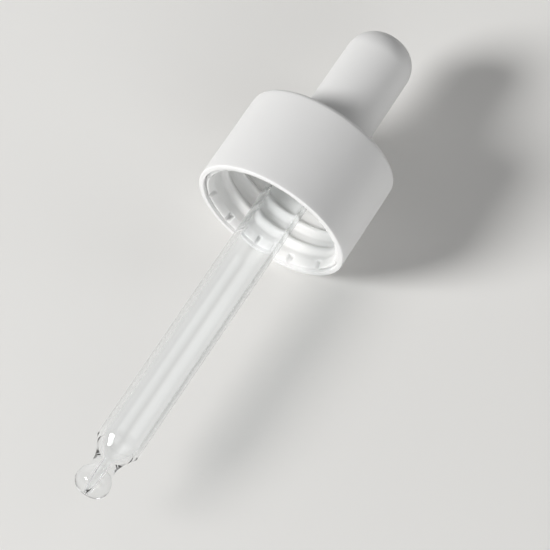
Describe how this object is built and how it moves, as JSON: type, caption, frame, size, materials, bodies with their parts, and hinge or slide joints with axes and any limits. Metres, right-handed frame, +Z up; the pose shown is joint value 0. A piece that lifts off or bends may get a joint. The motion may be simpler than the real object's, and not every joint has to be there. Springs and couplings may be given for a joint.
{
  "type": "medicine dropper",
  "caption": "Glass pipette dropper with a ball tip, a rubber squeeze bulb and a two-wall white screw closure, lying on its side.",
  "frame": {"origin": "on the surface the dropper lies on, under the middle of its length and its axis", "axes": "+Y along the dropper's axis towards the bulb, +Z up from the surface, +X across it, the way the thumb pad faces"},
  "size_m": [0.0262, 0.0926, 0.0263],
  "materials": {
    "shell": "fine matte moulded white",
    "cap": "satin white moulding",
    "bulb": "matte white soft rubber",
    "washer": "matte soft foam plastic",
    "glass": "clear, fire-polished"
  },
  "bodies": {
    "closure": {"outer_shell": "shell", "threaded_cap": "cap"},
    "dropper": {"bulb": "bulb", "sealing_washer": "washer", "glass_pipette": "glass"},
    "thumb_side": {"bulb_thumb_pad": "bulb"},
    "finger_side": {"bulb_finger_pad": "bulb"}
  },
  "joints": [
    {"name": "closure_turn", "type": "hinge", "parent": "closure", "child": "dropper", "pos_m": [0, 0.0172, 0.01315], "axis": [0, 1, 0], "continuous": true},
    {"name": "thumb_press", "type": "slide", "parent": "dropper", "child": "thumb_side", "axis": [-1, 0, 0], "range_m": [0, 0.0026], "stiffness_N_per_m": 400},
    {"name": "finger_press", "type": "slide", "parent": "dropper", "child": "finger_side", "axis": [1, 0, 0], "range_m": [0, 0.0026], "stiffness_N_per_m": 400}
  ],
  "couplings": [
    {"joint": "finger_press", "follows": "thumb_press", "ratio": 1}
  ]
}
